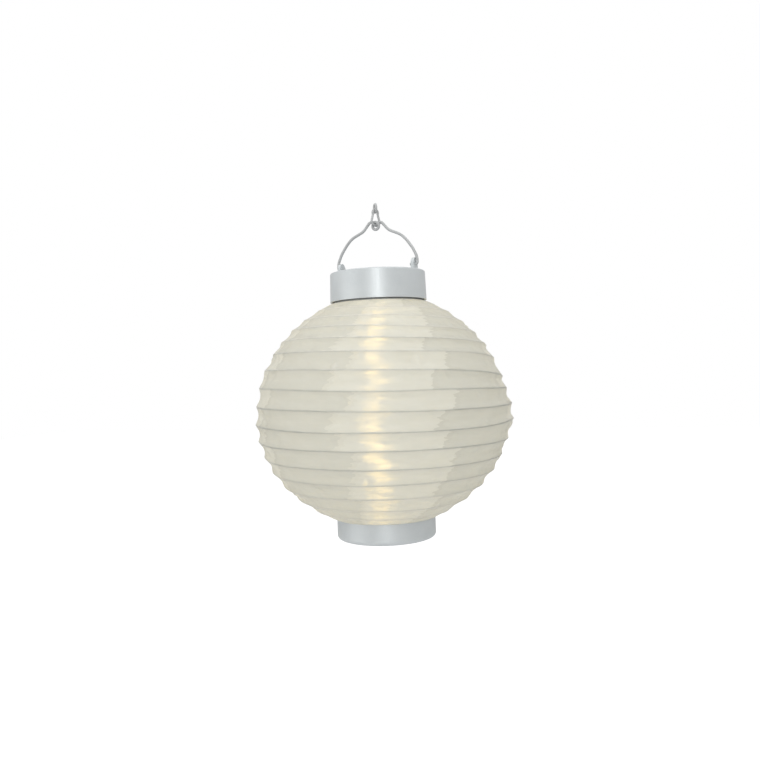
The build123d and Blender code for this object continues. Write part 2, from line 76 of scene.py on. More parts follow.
# the spiral rib, as in the CAD model
RIB_RADIUS = 0.6 * MM
RIB_TURNS = 15
RIB_START = 64.5  # degrees of latitude
RIB_CLOSE_TURNS = 4.7
RIB_CLOSE_STEP = 7.05
RIB_WIDE_STEP = 8.9
RIB_START_TURN = math.radians(41.0)
RIB_GAP = 0.2 * MM  # from the wire to the cloth round it
RIB_SECTIONS = 120  # along each turn
RIB_SIDES = 8

# how the ribs lean away from an even spiral, in degrees of latitude
FACING = math.radians(-68.0)  # azimuth, from +X, of the front, where they lean least
LEAN_ALL = 4.6
LEAN_FRONT = 3.4
LEAN_SIDE = 1.9
STEEPEST = 89.0
RIB_WANDER = 0.9 * MM

# the noise behind each unevenness: its lumps round the globe, its lumps a turn, and where it starts
WANDER_LUMPS = (1.4, 0.9, 3.0)
CREST_LUMPS = (1.6, 1.1, 11.0)
SLACK_LUMPS = (2.2, 4.7, 21.0)
GATHER_LUMPS = (13.0, 3.3, 5.0)

# where the wire springs out a little: its place in turns, and its reach round the globe and down
BULGE = 3.4 * MM
BULGE_TURN = 8.6
BULGE_AZIMUTH = math.radians(14.0)
BULGE_REACH = 0.5
BULGE_TURNS = 1.1

# where a turn of the wire has slipped: turns from its start, azimuth, reach round the globe and rise
SLIPS = (
    (5.95, math.radians(24.0), 0.75, -3.6 * MM),
    (4.95, math.radians(24.0), 0.6, -1.6 * MM),
    (7.95, math.radians(18.0), 0.6, 2.6 * MM),
    (8.95, math.radians(14.0), 0.6, 2.4 * MM),
)
SLIP_TURNS = 0.4

# the cloth between the ribs
COLUMNS = 360  # of the cloth's grid, in each turn
SPARE_BAYS = 2  # started above the spiral's first turn, so that the cut end is level
# rows of the grid in each bay, closer together beside the ribs
BAY_ROWS = (0.0, 0.03, 0.065, 0.11, 0.17, 0.25, 0.36, 0.5, 0.64, 0.75, 0.83, 0.89, 0.935, 0.97)
BAY_HEIGHT = 13.4 * MM
END_REACH = 0.5 * BAY_HEIGHT  # the cloth smooths out this far from its ends
VALLEY = 2.8 * MM  # how far the cloth sinks in between two ribs
SLACK = 0.45  # how much that varies
CREST_UNEVEN = 0.5 * MM  # how far the crest wanders in and out
CREST_DROP = 0.55 * MM  # how much the cloth's sharp crest is rounded off over the wire
CREST_WIDTH = 1.25 * MM
GATHER = 0.45 * MM  # the depth of the small gathers between the ribs
HEM_TOP_RADIUS = 35.8 * MM
HEM_TOP = -76.9 * MM
HEM_BOTTOM_RADIUS = 38.85 * MM
HEM_BOTTOM = -243.5 * MM
HEM_BAYS = 0.2  # from the cloth's ends to the hems on its layout, in bays

# the gores, in shares of a gore
GORES = 8
GORE_START = 0.178  # from the rib's start to the first seam
SEAM_SHARE = 0.055  # the width of a lapped seam
SEAM_STEP = 0.13  # how far a seam jumps to each side from one bay to the next
SEAM_SLANT = 0.07  # how far it slants within a bay
SEAM_RAGGED = 0.05
GORE_TONE = 0.34  # share of the darker tone in every other gore

# small creases: lengths in millimetres, heights and rows in bays
PUCKERS = 130
PUCKER_SEED = 41
PUCKERS_BY_SEAMS = 0.6  # share of them
PUCKER_SPREAD = 0.02  # from the seam, in turns
PUCKER_ROWS = (0.16, 0.3, 0.5, 0.72, 0.86)
PUCKER_WIDTH = (1.7, 3.4)
PUCKER_HEIGHT = (0.13, 0.3)
PUCKER_DEPTH = (0.8, 1.9)
PUCKER_LEAN = 0.8
PUCKER_REACH = 3  # widths or heights from its middle to where it has died away

# the cloth's look
THREAD_PITCH = 0.5 * MM
CREASE_SCALE = 42.0  # diamond creases to a metre
CREASES_LEFT_OUT = 0.8  # share of the diamonds that stay flat
LIGHT_THROUGH = 0.46  # share of the light that shines through

# the warm light inside, beaded down the middle of the globe
GLOWS = 13
GLOW_RADIUS = 4.5 * MM
GLOW_POWER = 0.0033
GLOW_ASIDE = 5 * MM
GLOW_WANDER = 4.0 * MM
GLOW_TOP = 28 * MM  # from the cloth's ends to the first and the last
GLOW_BOTTOM = 10 * MM
GLOW_SEED = 17
GLOW_UNEVEN = (0.6, 1.5)  # the weakest and the strongest, as shares of GLOW_POWER
LAMP_COLOUR = (1.0, 0.66, 0.16)

# softboxes: azimuth, distance and height, then width and height, brightness, and whether they reflect
SOFTBOXES = {
    "front_softbox": ((20.0, 1.3, 0.2), (0.42, 1.3), 3.05, True),
    "left_softbox": ((-50.0, 1.6, 0.0), (1.2, 1.6), 0.62, True),
    "back_softbox": ((CAMERA_AZIMUTH + 180, 1.5, -0.1), (1.6, 1.6), 0.9, False),
    "overhead_softbox": ((0.0, 0.0, 1.3), (2.2, 2.2), 0.7, True),
}
WORLD_LIGHT = 0.63  # the backdrop's light on the lantern; the camera sees it at full strength
LED_GLOW_POWER = 0.005
LED_GLOW_RADIUS = 3 * MM
LED_GLOW_BELOW = 5 * MM

FLOOR_HEIGHT = -0.75
FLOOR_SIZE = 14.0


# ---------------------------------------------------------------- materials


def colour(red, green, blue):
    return (red, green, blue, 1.0)


class Paint:
    """One material's nodes, with short calls for the nodes that repeat."""

    def __init__(self, name):
        self.material = bpy.data.materials.new(name)
        self.material.use_nodes = True
        self.tree = self.material.node_tree
        self.tree.nodes.clear()
        self.output = self.tree.nodes.new("ShaderNodeOutputMaterial")
        self.place = self.tree.nodes.new("ShaderNodeTexCoord").outputs["Object"]

    def feed(self, socket, value):
        """Link another node's output to a socket, or set the socket to a plain value."""
        if isinstance(value, bpy.types.NodeSocket):
            self.tree.links.new(value, socket)
        else:
            socket.default_value = value

    def node(self, kind, inputs):
        """A shader node, with its inputs given by name or number."""
        made = self.tree.nodes.new("ShaderNode" + kind)
        for name, value in inputs.items():
            self.feed(made.inputs[name], value)
        return made

    def maths(self, operation, first, second=0.0):
        made = self.node("Math", {0: first, 1: second})
        made.operation = operation
        return made.outputs[0]

    def noise(self, scale, detail=3.0, stretch=None, source=None):
        """Noise on the piece's own coordinates, or on a source's, which may be stretched first."""
        vector = source or self.place
        if stretch:
            vector = self.node("Mapping", {"Vector": vector, "Scale": stretch}).outputs[0]
        made = self.node("TexNoise", {"Vector": vector, "Scale": scale, "Detail": detail})
        return made.outputs["Fac"]

    def cells(self, scale):
        """Small cells, each of its own random colour."""
        made = self.node("TexVoronoi", {"Vector": self.place, "Scale": scale})
        return made.outputs["Color"]

    def span(self, value, low, high, to_low=0.0, to_high=1.0):
        """A value's range stretched to another range."""
        inputs = {"Value": value, "From Min": low, "From Max": high, "To Min": to_low, "To Max": to_high}
        return self.node("MapRange", inputs).outputs[0]

    def patches(self, scale, detail=3.0, low=0.0, high=1.0):
        """Soft patches of noise, from low to high."""
        return self.span(self.noise(scale, detail), *NOISE_RANGE, low, high)

    def blend(self, share, first, second):
        """A mix of two colours. The Mix node keeps its colours' sockets at 6 and 7."""
        made = self.tree.nodes.new("ShaderNodeMix")
        made.data_type = "RGBA"
        self.feed(made.inputs[0], share)
        self.feed(made.inputs[6], first)
        self.feed(made.inputs[7], second)
        return made.outputs[2]

    def bump(self, height, strength, distance, below=None):
        """Relief, on top of the relief below it."""
        inputs = {"Height": height, "Strength": strength, "Distance": distance}
        if below is not None:
            inputs["Normal"] = below
        return self.node("Bump", inputs).outputs["Normal"]

    def surface(self, inputs):
        return self.node("BsdfPrincipled", inputs).outputs["BSDF"]

    def finish(self, shader):
        self.tree.links.new(shader, self.output.inputs["Surface"])
        return self.material


def moulded(name, light, dark, roughness, grain=900.0, coat=0.0):
    """Moulded plastic: faint mottling, a fine textured skin and slow flow marks."""
    paint = Paint(name)
    mottle = paint.patches(90.0, 4.0)
    base = paint.blend(mottle, dark, light)
    skin = paint.bump(paint.noise(grain * 4, 2.0), 0.12, 0.05 * MM)
    flow = paint.bump(paint.noise(60.0, 2.0, (1.0, 1.0, 0.3)), 0.08, 0.3 * MM, skin)
    rough = paint.patches(grain, 3.0, roughness - 0.05, roughness + 0.07)
    return paint.finish(
        paint.surface({"Base Color": base, "Roughness": rough, "Normal": flow, "Coat Weight": coat})
    )


def pearl_plastic():
    """Pearl grey paint on the caps: fine flakes under a thin clear coat, a little scuffed."""
    paint = Paint("pearl_plastic")
    flakes = paint.cells(5200.0)
    bright = paint.node("SeparateColor", {"Color": flakes}).outputs[0]
    drift = paint.patches(38.0, 3.0)
    ground = paint.blend(drift, colour(0.585, 0.62, 0.63), colour(0.645, 0.68, 0.69))
    base = paint.blend(paint.span(bright, 0.0, 1.0, 0.0, 0.22), ground, colour(0.80, 0.84, 0.86))
    scuff = paint.noise(420.0, 5.0, (1.0, 1.0, 0.12))
    rough = paint.span(scuff, 0.35, 0.75, 0.36, 0.46)
    fine = paint.bump(bright, 0.05, 0.02 * MM)
    skin = paint.bump(paint.noise(150.0, 2.0), 0.08, 0.08 * MM, fine)
    return paint.finish(
        paint.surface(
            {
                "Base Color": base,
                "Roughness": rough,
                "Normal": skin,
                "Metallic": 0.3,
                "Coat Weight": 0.25,
                "Coat Roughness": 0.3,
            }
        )
    )


def white_wire():
    """White enamel on bent wire, thin and slightly uneven."""
    paint = Paint("white_wire")
    patchy_share = paint.span(paint.noise(500.0, 4.0), 0.64, 0.74)
    enamel = paint.blend(paint.patches(160.0, 3.0), colour(0.44, 0.45, 0.45), colour(0.50, 0.51, 0.51))
    base = paint.blend(paint.maths("MULTIPLY", patchy_share, 0.35), enamel, colour(0.42, 0.42, 0.42))
    lumps = paint.bump(paint.noise(260.0, 2.0), 0.12, 0.05 * MM)
    rough = paint.patches(300.0, 3.0, 0.32, 0.46)
    return paint.finish(
        paint.surface(
            {
                "Base Color": base,
                "Roughness": rough,
                "Normal": lumps,
                "Coat Weight": 0.3,
                "Coat Roughness": 0.2,
            }
        )
    )


def drawn_metal(name, light, dark, roughness, metallic=1.0):
    """Bare or plated metal with drawing marks and faint tarnish."""
    paint = Paint(name)
    tarnish = paint.span(paint.noise(260.0, 4.0), 0.35, 0.65)
    base = paint.blend(tarnish, dark, light)
    marks = paint.noise(1500.0, 3.0, (1.0, 1.0, 0.2))
    rough = paint.span(marks, *NOISE_RANGE, roughness - 0.08, roughness + 0.1)
    scratch = paint.bump(marks, 0.15, 0.03 * MM)
    return paint.finish(
        paint.surface({"Base Color": base, "Roughness": rough, "Normal": scratch, "Metallic": metallic})
    )


def solar_cell():
    """Dark blue cells with fine silver fingers and wider bars across them, under clear epoxy."""
    finger_pitch = 2.1 * MM
    bar_pitch = 8.5 * MM
    paint = Paint("solar_cell")
    axes = paint.node("SeparateXYZ", {"Vector": paint.place})
    grains = paint.node("SeparateColor", {"Color": paint.cells(420.0)}).outputs[2]
    cell = paint.blend(grains, colour(0.010, 0.018, 0.062), colour(0.022, 0.045, 0.13))

    def lines(axis, pitch, share):
        """1 on thin lines across an axis, and 0 between them."""
        steps = paint.maths("FRACT", paint.maths("DIVIDE", axis, pitch))
        return paint.maths("LESS_THAN", steps, share)

    fingers = lines(axes.outputs[0], finger_pitch, 0.07)
    bars = lines(axes.outputs[1], bar_pitch, 0.09)
    silver = paint.maths("MAXIMUM", fingers, bars)
    base = paint.blend(silver, cell, colour(0.55, 0.57, 0.6))
    ripple = paint.bump(paint.noise(120.0, 2.0), 0.06, 0.2 * MM)
    return paint.finish(
        paint.surface(
            {
                "Base Color": base,
                "Roughness": paint.span(silver, 0.0, 1.0, 0.32, 0.45),
                "Normal": ripple,
                "Coat Weight": 1.0,
                "Coat Roughness": 0.06,
            }
        )
    )


def board_green():
    """Solder mask over copper tracks."""
    paint = Paint("board_green")
    tracks = paint.node(
        "TexBrick",
        {
            "Vector": paint.place,
            "Color1": colour(0.02, 0.16, 0.06),
            "Color2": colour(0.03, 0.20, 0.08),
            "Mortar": colour(0.06, 0.30, 0.12),
            "Scale": 260.0,
            "Mortar Size": 0.04,
        },
    )
    raised = paint.bump(tracks.outputs["Fac"], 0.3, 0.03 * MM)
    rough = paint.patches(500.0, 3.0, 0.25, 0.38)
    return paint.finish(
        paint.surface({"Base Color": tracks.outputs["Color"], "Roughness": rough, "Normal": raised})
    )


def battery_wrap():
    """Shrink wrap with one plain printed band and fine creases."""
    band_middle = 9 * MM
    band_half = 5 * MM
    paint = Paint("battery_wrap")
    along = paint.node("SeparateXYZ", {"Vector": paint.place}).outputs[0]
    from_band = paint.maths("ABSOLUTE", paint.maths("ADD", along, -band_middle))
    band = paint.maths("LESS_THAN", from_band, band_half)
    print_drift = paint.patches(200.0)
    green = paint.blend(print_drift, colour(0.07, 0.30, 0.12), colour(0.10, 0.37, 0.16))
    base = paint.blend(band, green, colour(0.70, 0.72, 0.70))
    crease = paint.bump(paint.noise(380.0, 3.0, (3.0, 1.0, 1.0)), 0.3, 0.1 * MM)
    rough = paint.span(print_drift, 0, 1, 0.22, 0.32)
    return paint.finish(paint.surface({"Base Color": base, "Roughness": rough, "Normal": crease}))


def led_lens():
    """Clear warm epoxy, lit from inside."""
    paint = Paint("led_lens")
    swirl = paint.patches(900.0, 2.0)
    glow = paint.blend(swirl, colour(1.0, 0.74, 0.38), colour(1.0, 0.86, 0.58))
    return paint.finish(
        paint.surface(
            {
                "Base Color": glow,
                "Roughness": paint.span(swirl, 0, 1, 0.08, 0.16),
                "Emission Color": glow,
                "Emission Strength": 3.0,
                "Normal": paint.bump(swirl, 0.1, 0.05 * MM),
            }
        )
    )


def insulation(name, light, dark):
    """Soft plastic over a thin lead, a little dusty."""
    paint = Paint(name)
    dust = paint.span(paint.noise(600.0, 4.0), 0.35, 0.7)
    base = paint.blend(dust, dark, light)
    ripple = paint.bump(paint.noise(1400.0, 2.0), 0.2, 0.04 * MM)
    return paint.finish(
        paint.surface({"Base Color": base, "Roughness": paint.span(dust, 0, 1, 0.38, 0.52), "Normal": ripple})
    )


def gores(paint, cloth, turn_share, bay):
    """1 on every other gore, and 1 on the lapped seams, which wander a little from bay to bay."""
    in_bay = paint.maths("FRACT", bay)
    spot = paint.node("CombineXYZ", {"X": paint.maths("FLOOR", bay), "Y": 0.5})
    step = paint.node("TexWhiteNoise", {"Vector": spot.outputs[0]}).outputs["Value"]
    jump = paint.span(step, 0.0, 1.0, -SEAM_STEP, SEAM_STEP)
    edge = paint.noise(1.0, 3.0, (9.0, 5.0, 1.0), cloth)
    ragged = paint.span(edge, *NOISE_RANGE, -SEAM_RAGGED, SEAM_RAGGED)
    slant = paint.maths("MULTIPLY", paint.maths("SUBTRACT", in_bay, 0.5), SEAM_SLANT)
    wander = paint.maths("ADD", paint.maths("ADD", jump, slant), ragged)
    shifted = paint.maths("SUBTRACT", wander, GORE_START)
    place = paint.maths("ADD", paint.maths("MULTIPLY", turn_share, float(GORES)), shifted)
    number = paint.maths("FLOOR", place)
    tone = paint.maths("SUBTRACT", 1.0, paint.maths("PINGPONG", number, 1.0))
    seam = paint.maths("LESS_THAN", paint.maths("FRACT", place), SEAM_SHARE)
    return tone, seam


def diamond_creases(paint, metres):
    """A few small diamonds where the cloth is pinched: used for their relief and for a painted highlight on
    them.
    """
    diamonds = paint.node("TexVoronoi", {"Vector": metres, "Scale": CREASE_SCALE})
    diamonds.distance = "MANHATTAN"
    chance = paint.node("SeparateColor", {"Color": diamonds.outputs["Color"]}).outputs[0]
    kept = paint.maths("GREATER_THAN", chance, CREASES_LEFT_OUT)
    return paint.maths("MULTIPLY", kept, paint.span(diamonds.outputs["Distance"], 0.04, 0.2, 1.0, 0.0))


def weave(paint, metres):
    """The height of threads that cross over and under each other."""
    parts = paint.node("SeparateXYZ", {"Vector": metres})
    warp = paint.maths("SINE", paint.maths("MULTIPLY", parts.outputs[0], CIRCLE / THREAD_PITCH))
    weft = paint.maths("SINE", paint.maths("MULTIPLY", parts.outputs[1], CIRCLE / THREAD_PITCH))
    return paint.maths("MULTIPLY", warp, weft)


def ivory_nylon():
    """Thin woven nylon that glows with the light behind it, in gores with lapped seams."""
    paint = Paint("ivory_nylon")
    layout = paint.node("UVMap", {})
    layout.uv_map = "cloth"
    cloth = layout.outputs["UV"]
    parts = paint.node("SeparateXYZ", {"Vector": cloth})
    turn_share, bay = parts.outputs[0], parts.outputs[1]
    real_size = (CIRCLE * GLOBE_RADIUS, BAY_HEIGHT, 1.0)
    metres = paint.node("Mapping", {"Vector": cloth, "Scale": real_size}).outputs[0]
    tone, seam = gores(paint, cloth, turn_share, bay)
    pinch_and_highlight = diamond_creases(paint, metres)

    # painted shade: a dark line along each rib's crest, standing in for the shadow there, fainter in places
    rib_shade_line = paint.span(paint.maths("PINGPONG", bay, 0.5), 0.03, 0.075, 1.0, 0.0)
    patchy_share = paint.span(paint.noise(1.0, 3.0, (40.0, 1.0, 1.0), cloth), 0.35, 0.65, 0.03, 0.16)

    # the colour: cloudy dye, then gores, thick threads, seams, a painted highlight on the creases and a
    # painted shade line along the ribs over it
    slub = paint.noise(260.0, 2.0, (0.3, 2.0, 1.0), metres)
    cloudy = paint.span(paint.noise(3.0, 4.0, (9.0, 1.0, 1.0), cloth), *NOISE_RANGE)
    ivory = paint.blend(cloudy, colour(0.885, 0.89, 0.83), colour(0.92, 0.925, 0.875))
    toned = paint.blend(paint.maths("MULTIPLY", tone, GORE_TONE), ivory, colour(0.64, 0.65, 0.61))
    threaded = paint.blend(paint.span(slub, 0.55, 0.75, 0.0, 0.16), toned, colour(0.92, 0.91, 0.86))
    lapped = paint.blend(paint.maths("MULTIPLY", seam, 0.1), threaded, colour(0.66, 0.64, 0.57))
    # painted highlight: the pinched diamonds are lightened in the colour, as if they caught the light
    crease_highlit = paint.blend(paint.maths("MULTIPLY", pinch_and_highlight, 0.55), lapped, colour(0.97, 0.97, 0.94))
    # painted shade: the dark line along each rib's crest is mixed into the colour here
    base = paint.blend(paint.maths("MULTIPLY", rib_shade_line, patchy_share), crease_highlit, colour(0.44, 0.42, 0.37))

    # the relief: threads, then broad folds, creases and seams over them
    fine = paint.bump(weave(paint, metres), 0.25, 0.06 * MM)
    threads_up = paint.bump(slub, 0.1, 0.08 * MM, fine)
    wrinkles = paint.noise(70.0, 2.0, (0.6, 1.3, 1.0), metres)
    folds = paint.bump(wrinkles, 0.8, 2.2 * MM, threads_up)
    lumps = paint.bump(pinch_and_highlight, 0.8, 0.9 * MM, folds)
    relief = paint.bump(seam, 0.5, 0.15 * MM, lumps)

    front = paint.surface(
        {
            "Base Color": base,
            "Roughness": paint.span(slub, *NOISE_RANGE, 0.18, 0.26),
            "Normal": relief,
            "Sheen Weight": 0.1,
            "Sheen Roughness": 0.4,
            "IOR": 1.35,
            "Transmission Weight": 0.2,
        }
    )
    through = paint.node("BsdfTranslucent", {"Color": base, "Normal": relief}).outputs[0]
    mixed = paint.node("MixShader", {0: LIGHT_THROUGH, 1: front, 2: through})
    return paint.finish(mixed.outputs[0])


def floor_white():
    """A pale painted floor with faint roller marks, bright to the camera so that it meets the backdrop."""
    paint = Paint("floor_white")
    marks = paint.patches(1.5, 4.0)
    base = paint.blend(marks, colour(0.66, 0.66, 0.66), colour(0.70, 0.70, 0.70))
    seen = paint.node("LightPath", {}).outputs["Is Camera Ray"]
    return paint.finish(
        paint.surface(
            {
                "Base Color": base,
                "Roughness": paint.span(marks, 0, 1, 0.75, 0.85),
                "Emission Color": base,
                "Emission Strength": seen,
            }
        )
    )


def inductor_green():
    """Varnished green coil former."""
    return moulded("inductor_green", colour(0.09, 0.36, 0.26), colour(0.06, 0.28, 0.20), 0.35, 700.0, 0.4)


FINISHES = {
    "pearl_plastic": pearl_plastic(),
    "white_wire": white_wire(),
    "ivory_nylon": ivory_nylon(),
    "rib_steel": drawn_metal("rib_steel", colour(0.80, 0.79, 0.74), colour(0.70, 0.69, 0.64), 0.5, 0.25),
    "white_plastic": moulded("white_plastic", colour(0.80, 0.80, 0.78), colour(0.74, 0.74, 0.72), 0.45),
    "grey_plastic": moulded("grey_plastic", colour(0.38, 0.39, 0.39), colour(0.32, 0.33, 0.33), 0.5),
    "black_plastic": moulded("black_plastic", colour(0.035, 0.035, 0.037), colour(0.018, 0.018, 0.02), 0.45),
    "solar_cell": solar_cell(),
    "board_green": board_green(),
    "contact_steel": drawn_metal("contact_steel", colour(0.72, 0.71, 0.68), colour(0.58, 0.57, 0.54), 0.3),
    "screw_steel": drawn_metal("screw_steel", colour(0.70, 0.71, 0.73), colour(0.55, 0.56, 0.58), 0.25),
    "battery_wrap": battery_wrap(),
    "led_lens": led_lens(),
    "lead_red": insulation("lead_red", colour(0.62, 0.05, 0.04), colour(0.48, 0.02, 0.02)),
    "lead_black": insulation("lead_black", colour(0.04, 0.04, 0.042), colour(0.015, 0.015, 0.016)),
    "inductor_green": inductor_green(),
}


def paint_cad_nodes():
    """Give each CAD node the finish that its material slot names."""
    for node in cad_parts.values():
        for slot in node.material_slots:
            slot.material = FINISHES[slot.material.name.split(".")[0]]


# ---------------------------------------------------------------- the shade


def globe_radius(height):
    """The globe's outer radius at a height."""
    rise = UPPER_RISE if height > EQUATOR else LOWER_DROP
    share = min(1.0, abs(height - EQUATOR) / rise)
    return GLOBE_RADIUS * math.sqrt(1 - share * share)


def ripple(azimuth, turn, around, along, start):
    """Smooth noise on the cloth, from -1 to 1: how many lumps around and for each turn of the rib."""
    return noise.noise(Vector((around * math.cos(azimuth), around * math.sin(azimuth), along * turn + start)))


def rib_height(turn, azimuth):
    """Height of the spiral after a number of turns, with the lean and wander of a hand-fitted wire."""
    close = min(turn, RIB_CLOSE_TURNS)
    latitude = RIB_START - RIB_CLOSE_STEP * close - RIB_WIDE_STEP * (turn - close)
    middle = RIB_TURNS / 2
    down = max(-1.0, min(1.0, (turn - middle) / middle))
    fade = down * (1 - down ** 4)
    apart = azimuth - FACING
    latitude += fade * (LEAN_ALL - LEAN_FRONT * math.cos(apart) + LEAN_SIDE * math.sin(apart))
    rise = UPPER_RISE if latitude > 0 else LOWER_DROP
    height = EQUATOR + rise * math.sin(math.radians(max(-STEEPEST, min(STEEPEST, latitude))))
    for at_turn, at_azimuth, reach, rise in SLIPS:
        aside = math.remainder(azimuth - at_azimuth, CIRCLE) / reach
        height += rise * math.exp(-aside * aside - ((turn - at_turn) / SLIP_TURNS) ** 2)
    return height + (1 - down * down) * RIB_WANDER * ripple(azimuth, turn, *WANDER_LUMPS)


def ends_fade(height):
    """0 at the cloth's two level ends, and 1 past the short reach where it smooths out."""
    near = min(CLOTH_TOP - height, height - CLOTH_BOTTOM)
    return max(0.0, min(1.0, near / END_REACH))


def crest_radius(height, turn, azimuth):
    """How far out the cloth stands where it crosses the rib."""
    apart = math.remainder(azimuth - BULGE_AZIMUTH, CIRCLE) / BULGE_REACH
    down = (turn - BULGE_TURN) / BULGE_TURNS
    bulge = BULGE * math.exp(-apart * apart - down * down)
    uneven = CREST_UNEVEN * (ripple(azimuth, turn, *CREST_LUMPS) - 1)
    return globe_radius(height) + ends_fade(height) * (bulge + uneven)


def make_puckers():
    """Small creases, most of them beside the seams: where, how wide, how high, how deep and how slanted."""
    dice = random.Random(PUCKER_SEED)
    found = []
    for _ in range(PUCKERS):
        seam = (dice.randrange(GORES) + GORE_START) / GORES
        if dice.random() < PUCKERS_BY_SEAMS:
            turn_share = (seam + dice.gauss(0, PUCKER_SPREAD)) % 1
        else:
            turn_share = dice.random()
        row = dice.randrange(1, RIB_TURNS) + dice.choice(PUCKER_ROWS)
        width = dice.uniform(*PUCKER_WIDTH) * MM
        height = dice.uniform(*PUCKER_HEIGHT)
        depth = dice.choice((-1, 1)) * dice.uniform(*PUCKER_DEPTH) * MM
        lean = dice.uniform(-PUCKER_LEAN, PUCKER_LEAN)
        found.append((turn_share, row, width, height, depth, lean))
    return found


PUCKER_LIST = make_puckers()


def pucker_offset(turn_share, row, radius):
    """How far the small creases push the cloth out at a place on its layout."""
    offset = 0.0
    for share, at_row, width, height, depth, lean in PUCKER_LIST:
        up = row - at_row
        if abs(up) > PUCKER_REACH * height:
            continue
        across = (turn_share - share + 0.5) % 1 - 0.5
        across = across * CIRCLE * radius - lean * up * BAY_HEIGHT
        if abs(across) < PUCKER_REACH * width:
            offset += depth * math.exp(-((across / width) ** 2) - (up / height) ** 2)
    return offset


def cloth_point(column, row):
    """A point of the cloth: column is a share of a turn from the rib's start, row counts bays down."""
    azimuth = RIB_START_TURN + CIRCLE * column
    turn = row + column
    height = rib_height(turn, azimuth)
    if height >= CLOTH_TOP or height <= CLOTH_BOTTOM:
        height = CLOTH_TOP if height >= CLOTH_TOP else CLOTH_BOTTOM
        return azimuth, globe_radius(height), height
    part = row - math.floor(row)
    from_rib = min(part, 1 - part) * BAY_HEIGHT
    bow = 4 * part * (1 - part)
    bay = math.floor(row)
    loose = 1 + SLACK * ripple(azimuth, bay + column, *SLACK_LUMPS)
    fade = ends_fade(height)
    size = 0.5 + 0.5 * globe_radius(height) / GLOBE_RADIUS
    radius = crest_radius(height, turn, azimuth)
    radius -= fade * size * VALLEY * loose * bow
    radius -= fade * CREST_DROP * math.exp(-((from_rib / CREST_WIDTH) ** 2))
    radius += fade * GATHER * bow * ripple(azimuth, bay + column, *GATHER_LUMPS)
    radius += fade * bow * pucker_offset(column, row, radius)
    return azimuth, radius, height


def round_point(azimuth, radius, height):
    """X, Y and Z of a place on the globe."""
    return (radius * math.cos(azimuth), radius * math.sin(azimuth), height)


def make_mesh(name, points, faces):
    """A smooth-shaded mesh object in the scene."""
    mesh = bpy.data.meshes.new(name)
    mesh.from_pydata(points, [], faces)
    mesh.update()
    for face in mesh.polygons:
        face.use_smooth = True
    piece = bpy.data.objects.new(name, mesh)
    bpy.context.scene.collection.objects.link(piece)
    return piece


def cloth_grid(rows):
    """The cloth's points, and their numbers at the grid's corners and along each cut end."""
    points = []
    number = {}
    ends = {CLOTH_TOP: {}, CLOTH_BOTTOM: {}}
    for c in range(COLUMNS):
        for r, row in enumerate(rows):
            azimuth, radius, height = cloth_point(c / COLUMNS, row)
            if height in ends and c in ends[height]:
                number[c, r] = ends[height][c]
                continue
            number[c, r] = len(points)
            points.append(round_point(azimuth, radius, height))
            if height in ends:
                ends[height][c] = number[c, r]
    return points, number, ends


def grid_corner(rows, number, c, r):
    """A corner's point and its place on the layout. Past the last column it is a turn further down."""
    layout = (c / COLUMNS, rows[r])
    if c == COLUMNS:
        return number[0, r + len(BAY_ROWS)], layout
    return number[c, r], layout


def grid_faces(rows, number):
    """The cloth's faces, and the place of each of their corners on the layout."""
    faces = []
    layouts = []
    for c in range(COLUMNS):
        past_the_end = len(BAY_ROWS) if c == COLUMNS - 1 else 0
        for r in range(len(rows) - 1 - past_the_end):
            ring = {}
            for corner in ((c, r), (c, r + 1), (c + 1, r + 1), (c + 1, r)):
                index, layout = grid_corner(rows, number, *corner)
                ring.setdefault(index, layout)
            if len(ring) > 2:
                faces.append(list(ring))
                layouts.append(list(ring.values()))
    return faces, layouts


def add_hem(points, faces, layouts, end, radius, height, row):
    """A band from a cut end of the cloth to a circle inside the cap."""
    first = len(points)
    for c in range(COLUMNS):
        points.append(round_point(RIB_START_TURN + CIRCLE * c / COLUMNS, radius, height))
    for c in range(COLUMNS):
        after = (c + 1) % COLUMNS
        ring = [end[c], end[after], first + after, first + c]
        here = (c / COLUMNS, row)
        ahead = ((c + 1) / COLUMNS, row)
        places = [here, ahead, ahead, here]
        if height < EQUATOR:
            ring.reverse()
            places.reverse()
        faces.append(ring)
        layouts.append(places)


def make_cloth():
    """The pleated cloth on a grid that follows the spiral, cut level at both ends and turned in there."""
    rows = [bay + part for bay in range(-SPARE_BAYS, RIB_TURNS + 1) for part in BAY_ROWS]
    points, number, ends = cloth_grid(rows)
    faces, layouts = grid_faces(rows, number)
    top, bottom = ends[CLOTH_TOP], ends[CLOTH_BOTTOM]
    add_hem(points, faces, layouts, top, HEM_TOP_RADIUS, HEM_TOP, -HEM_BAYS)
    add_hem(points, faces, layouts, bottom, HEM_BOTTOM_RADIUS, HEM_BOTTOM, RIB_TURNS + HEM_BAYS)
    cloth = make_mesh("pleated_cloth", points, faces)
    layer = cloth.data.uv_layers.new(name="cloth")
    places = [place for layout in layouts for place in layout]
    for loop, place in enumerate(places):
        layer.data[loop].uv = place
    cloth.data.materials.append(FINISHES["ivory_nylon"])
    return cloth


def rib_line():
    """The middle of the spring wire, just inside the cloth's crest."""
    line = []
    for n in range(RIB_TURNS * RIB_SECTIONS + 1):
        turn = n / RIB_SECTIONS
        azimuth = RIB_START_TURN + CIRCLE * turn
        height = rib_height(turn, azimuth)
        if CLOTH_BOTTOM + RIB_RADIUS < height < CLOTH_TOP - RIB_RADIUS:
            inset = ends_fade(height) * CREST_DROP + RIB_RADIUS + RIB_GAP
            radius = crest_radius(height, turn, azimuth) - inset
            line.append(Vector(round_point(azimuth, radius, height)))
    return line


